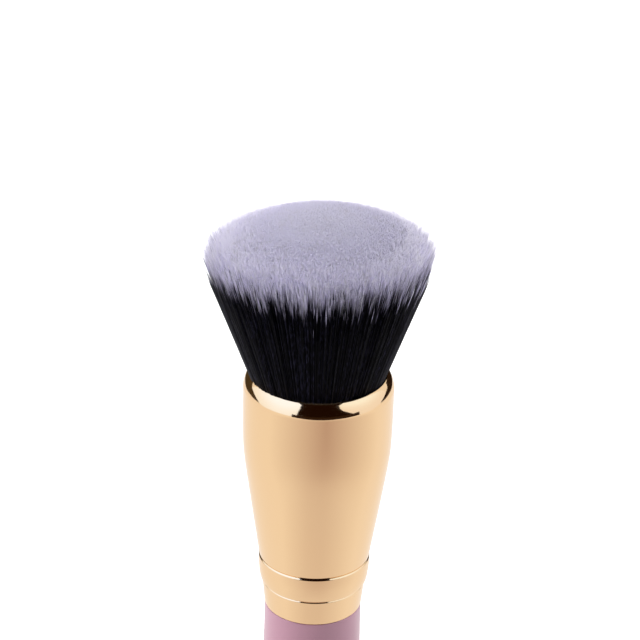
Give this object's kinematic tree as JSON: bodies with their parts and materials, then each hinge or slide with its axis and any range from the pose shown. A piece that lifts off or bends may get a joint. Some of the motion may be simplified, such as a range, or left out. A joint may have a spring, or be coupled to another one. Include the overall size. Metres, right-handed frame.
{
  "type": "foundation brush",
  "caption": "Round make-up brush with a flared, domed bristle head, a rolled-lip metal ferrule and a turned handle with a flat foot.",
  "frame": {"origin": "centre of the flat foot at the handle's end", "axes": "+Z along the brush from the foot to the crown of the bristles; the brush is turned about Z"},
  "size_m": [0.0313, 0.0312, 0.1615],
  "materials": {
    "lacquer": "turned wood under a satin mauve lacquer",
    "gold": "polished light gold plating",
    "filament": "fine synthetic filament, near black, dyed lavender grey at the tips",
    "resin": "hardened clear resin",
    "thread": "waxed pale binding thread"
  },
  "bodies": {
    "root": {"handle": "lacquer", "ferrule": "gold", "bristles": "filament", "handle_glue": "resin", "root_glue_plug": "resin", "binding_thread": "thread"}
  },
  "joints": []
}
